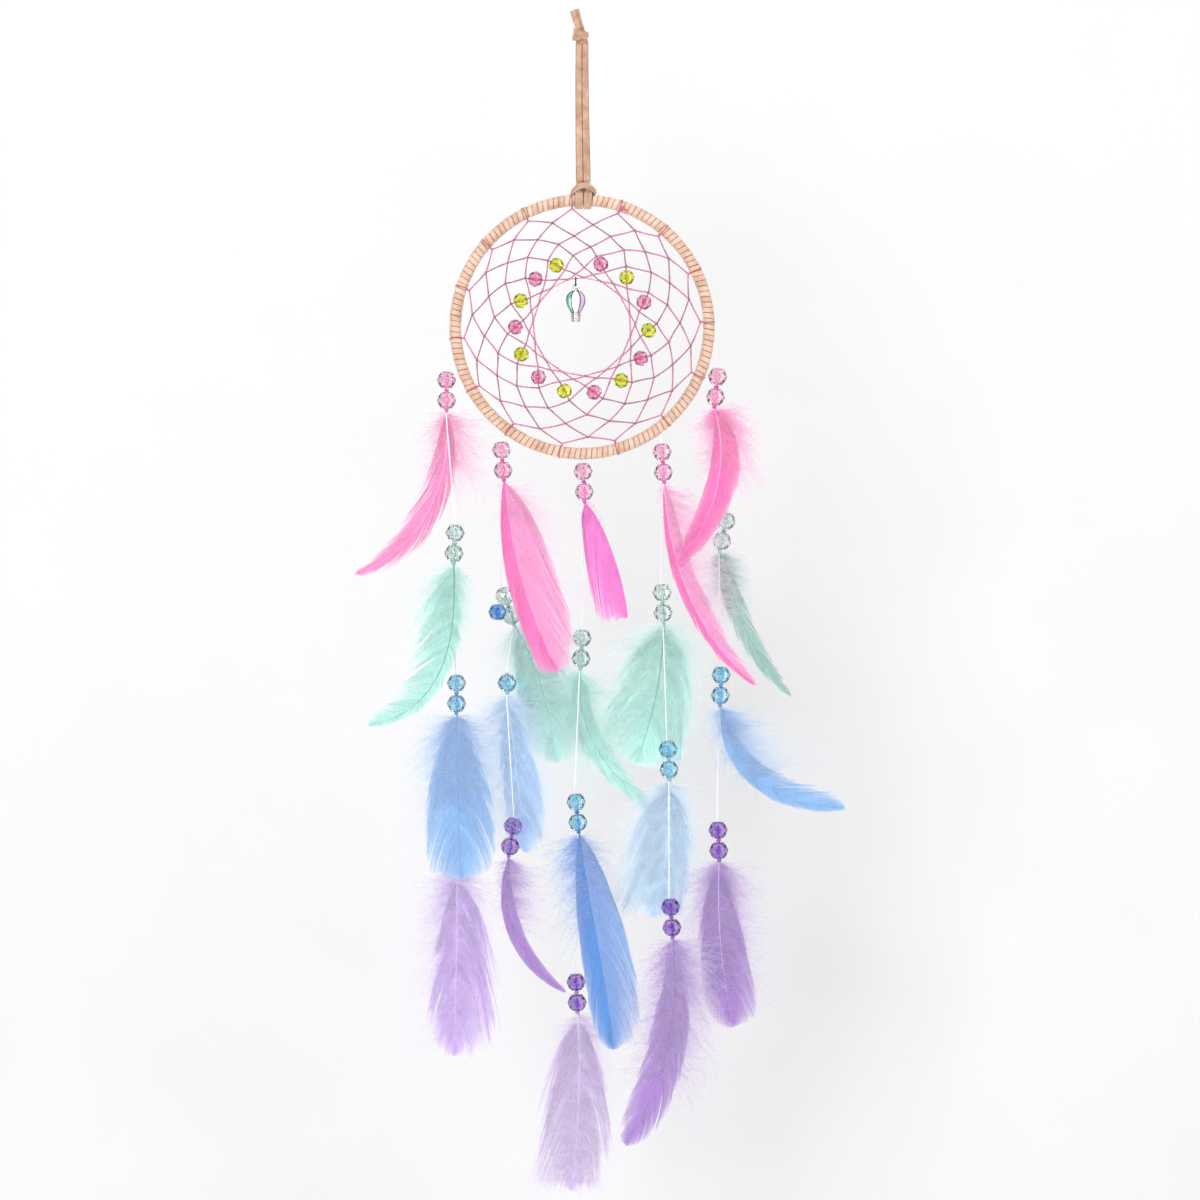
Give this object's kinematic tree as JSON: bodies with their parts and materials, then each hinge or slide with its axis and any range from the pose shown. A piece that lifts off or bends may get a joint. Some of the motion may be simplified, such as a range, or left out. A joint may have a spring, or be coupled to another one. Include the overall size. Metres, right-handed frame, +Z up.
{
  "type": "dream catcher",
  "caption": "Hanging dream catcher: a lace-wrapped hoop with a knotted, beaded web, a small balloon charm and strings of faceted beads and dyed feathers.",
  "frame": {"origin": "the hanging point, between the two lace strands just under their knot", "axes": "+Z up, the front faces -Y, +X to the right seen from the front"},
  "size_m": [0.2916, 0.0248, 0.711],
  "materials": {
    "lace_suede": "suede, matt, natural tan",
    "wrap_suede": "suede, matt, pale peach",
    "ring_core": "bare vine or rattan, hidden",
    "web_thread": "waxed nylon, grey pink",
    "anchor_thread": "waxed nylon, deep pink",
    "web_bead_pink": "clear acrylic, pink, cut facets",
    "web_bead_yellow": "clear acrylic, yellow, cut facets",
    "charm_silver": "cast alloy, silver plated",
    "charm_enamel": "soft enamel, teal, white and lilac",
    "string_thread": "white nylon",
    "bead_pink": "clear acrylic, pink tint, cut facets",
    "bead_green": "clear acrylic, faint green, cut facets",
    "bead_blue": "clear acrylic, aqua tint, cut facets",
    "bead_purple": "clear acrylic, violet tint, cut facets",
    "feather_pink": "dyed goose feather, pink",
    "feather_green": "dyed goose feather, mint",
    "feather_blue": "dyed goose feather, sky blue",
    "feather_purple": "dyed goose feather, lavender"
  },
  "bodies": {
    "hanger": {"lace_knot": "lace_suede", "lace_strands": "lace_suede"},
    "hitch": {"larks_head": "lace_suede"},
    "hoop": {"hoop_ring": "ring_core", "hoop_wrap": "wrap_suede", "web_thread": "web_thread", "web_anchor_loops": "anchor_thread", "web_tie_knot": "anchor_thread", "web_beads_pink": "web_bead_pink", "web_beads_yellow": "web_bead_yellow", "string_thread_1": "string_thread", "string_thread_2": "string_thread", "string_thread_3": "string_thread", "string_thread_4": "string_thread", "string_thread_5": "string_thread"},
    "charm_ring": {"charm_ring": "charm_silver"},
    "charm": {"charm_eye": "charm_silver", "charm_balloon": "charm_enamel", "charm_basket": "charm_silver"},
    "drop_1_pink": {"pink_beads_1": "bead_pink", "pink_feather_1": "feather_pink"},
    "drop_1_green": {"green_beads_1": "bead_green", "green_feather_1": "feather_green"},
    "drop_1_blue": {"blue_beads_1": "bead_blue", "blue_feather_1": "feather_blue"},
    "drop_1_purple": {"purple_beads_1": "bead_purple", "purple_feather_1": "feather_purple"},
    "drop_2_pink": {"pink_beads_2": "bead_pink", "pink_feather_2": "feather_pink"},
    "drop_2_green": {"green_beads_2": "bead_green", "green_feather_2": "feather_green", "blue_bead_caught": "bead_blue"},
    "drop_2_blue": {"blue_beads_2": "bead_blue", "blue_feather_2": "feather_blue"},
    "drop_2_purple": {"purple_beads_2": "bead_purple", "purple_feather_2": "feather_purple"},
    "drop_3_pink": {"pink_beads_3": "bead_pink", "pink_feather_3": "feather_pink"},
    "drop_3_green": {"green_beads_3": "bead_green", "green_feather_3": "feather_green"},
    "drop_3_blue": {"blue_beads_3": "bead_blue", "blue_feather_3": "feather_blue"},
    "drop_3_purple": {"purple_beads_3": "bead_purple", "purple_feather_3": "feather_purple"},
    "drop_4_pink": {"pink_beads_4": "bead_pink", "pink_feather_4": "feather_pink"},
    "drop_4_green": {"green_beads_4": "bead_green", "green_feather_4": "feather_green"},
    "drop_4_blue": {"blue_beads_4": "bead_blue", "blue_feather_4": "feather_blue"},
    "drop_4_purple": {"purple_beads_4": "bead_purple", "purple_feather_4": "feather_purple"},
    "drop_5_pink": {"pink_beads_5": "bead_pink", "pink_feather_5": "feather_pink"},
    "drop_5_green": {"green_beads_5": "bead_green", "green_feather_5": "feather_green"},
    "drop_5_blue": {"blue_beads_5": "bead_blue", "blue_feather_5": "feather_blue"},
    "drop_5_purple": {"purple_beads_5": "bead_purple", "purple_feather_5": "feather_purple"}
  },
  "joints": [
    {"name": "lace_twist", "type": "hinge", "parent": "hanger", "child": "hitch", "pos_m": [0.0007, 0, -0.083], "axis": [0, 0, 1], "range_deg": [-180, 180], "deforming": ["lace_strands"]},
    {"name": "hoop_tilt", "type": "hinge", "parent": "hitch", "child": "hoop", "pos_m": [0, 0, -0.09385], "axis": [1, 0, 0], "range_deg": [-20, 20]},
    {"name": "charm_ring_swing", "type": "hinge", "parent": "hoop", "child": "charm_ring", "pos_m": [-0.0038, 0, -0.14114], "axis": [1, 0, 0], "range_deg": [-35, 35]},
    {"name": "charm_sway", "type": "hinge", "parent": "charm_ring", "child": "charm", "pos_m": [-0.0038, 0, -0.14549], "axis": [0, 1, 0], "range_deg": [-30, 30]},
    {"name": "pink_sway_1", "type": "hinge", "parent": "hoop", "child": "drop_1_pink", "pos_m": [-0.07703, 0, -0.19365], "axis": [0, 1, 0], "range_deg": [-3, 12], "deforming": ["string_thread_1"]},
    {"name": "green_sway_1", "type": "hinge", "parent": "drop_1_pink", "child": "drop_1_green", "pos_m": [-0.0815, 0, -0.2205], "axis": [0, 1, 0], "range_deg": [-3.5, 3.5]},
    {"name": "blue_sway_1", "type": "hinge", "parent": "drop_1_green", "child": "drop_1_blue", "pos_m": [-0.07736, 0, -0.31247], "axis": [0, 1, 0], "range_deg": [-5, 5]},
    {"name": "purple_sway_1", "type": "hinge", "parent": "drop_1_blue", "child": "drop_1_purple", "pos_m": [-0.0755, 0, -0.4028], "axis": [0, 1, 0], "range_deg": [-9, 9]},
    {"name": "pink_sway_2", "type": "hinge", "parent": "hoop", "child": "drop_2_pink", "pos_m": [-0.04848, 0, -0.23443], "axis": [0, 1, 0], "range_deg": [-3, 3], "deforming": ["string_thread_2"]},
    {"name": "green_sway_2", "type": "hinge", "parent": "drop_2_pink", "child": "drop_2_green", "pos_m": [-0.04712, 0, -0.26256], "axis": [0, 1, 0], "range_deg": [-3.5, 3.5]},
    {"name": "blue_sway_2", "type": "hinge", "parent": "drop_2_green", "child": "drop_2_blue", "pos_m": [-0.04095, 0.00806, -0.34937], "axis": [0, 1, 0], "range_deg": [-5, 5]},
    {"name": "purple_sway_2", "type": "hinge", "parent": "drop_2_blue", "child": "drop_2_purple", "pos_m": [-0.0451, 0, -0.3905], "axis": [0, 1, 0], "range_deg": [-9, 9]},
    {"name": "pink_sway_3", "type": "hinge", "parent": "hoop", "child": "drop_3_pink", "pos_m": [0.00056, 0, -0.25065], "axis": [0, 1, 0], "range_deg": [-3, 3], "deforming": ["string_thread_3"]},
    {"name": "green_sway_3", "type": "hinge", "parent": "drop_3_pink", "child": "drop_3_green", "pos_m": [0.00156, 0, -0.27547], "axis": [0, 1, 0], "range_deg": [-3.5, 3.5]},
    {"name": "blue_sway_3", "type": "hinge", "parent": "drop_3_green", "child": "drop_3_blue", "pos_m": [-0.00096, 0, -0.37567], "axis": [0, 1, 0], "range_deg": [-5, 5]},
    {"name": "purple_sway_3", "type": "hinge", "parent": "drop_3_blue", "child": "drop_3_purple", "pos_m": [-0.002, 0, -0.47423], "axis": [0, 1, 0], "range_deg": [-9, 9]},
    {"name": "pink_sway_4", "type": "hinge", "parent": "hoop", "child": "drop_4_pink", "pos_m": [0.04803, 0, -0.23477], "axis": [0, 1, 0], "range_deg": [-3, 3], "deforming": ["string_thread_4"]},
    {"name": "green_sway_4", "type": "hinge", "parent": "drop_4_pink", "child": "drop_4_green", "pos_m": [0.04938, 0, -0.26376], "axis": [0, 1, 0], "range_deg": [-3.5, 3.5]},
    {"name": "blue_sway_4", "type": "hinge", "parent": "drop_4_green", "child": "drop_4_blue", "pos_m": [0.04906, 0, -0.34827], "axis": [0, 1, 0], "range_deg": [-5, 5]},
    {"name": "purple_sway_4", "type": "hinge", "parent": "drop_4_blue", "child": "drop_4_purple", "pos_m": [0.05266, 0, -0.44247], "axis": [0, 1, 0], "range_deg": [-9, 9]},
    {"name": "pink_sway_5", "type": "hinge", "parent": "hoop", "child": "drop_5_pink", "pos_m": [0.07661, 0, -0.19499], "axis": [0, 1, 0], "range_deg": [-12, 3], "deforming": ["string_thread_5"]},
    {"name": "green_sway_5", "type": "hinge", "parent": "drop_5_pink", "child": "drop_5_green", "pos_m": [0.07958, 0, -0.2184], "axis": [0, 1, 0], "range_deg": [-3.5, 3.5]},
    {"name": "blue_sway_5", "type": "hinge", "parent": "drop_5_green", "child": "drop_5_blue", "pos_m": [0.08277, 0, -0.3049], "axis": [0, 1, 0], "range_deg": [-5, 5]},
    {"name": "purple_sway_5", "type": "hinge", "parent": "drop_5_blue", "child": "drop_5_purple", "pos_m": [0.08296, 0, -0.39789], "axis": [0, 1, 0], "range_deg": [-9, 9]}
  ]
}
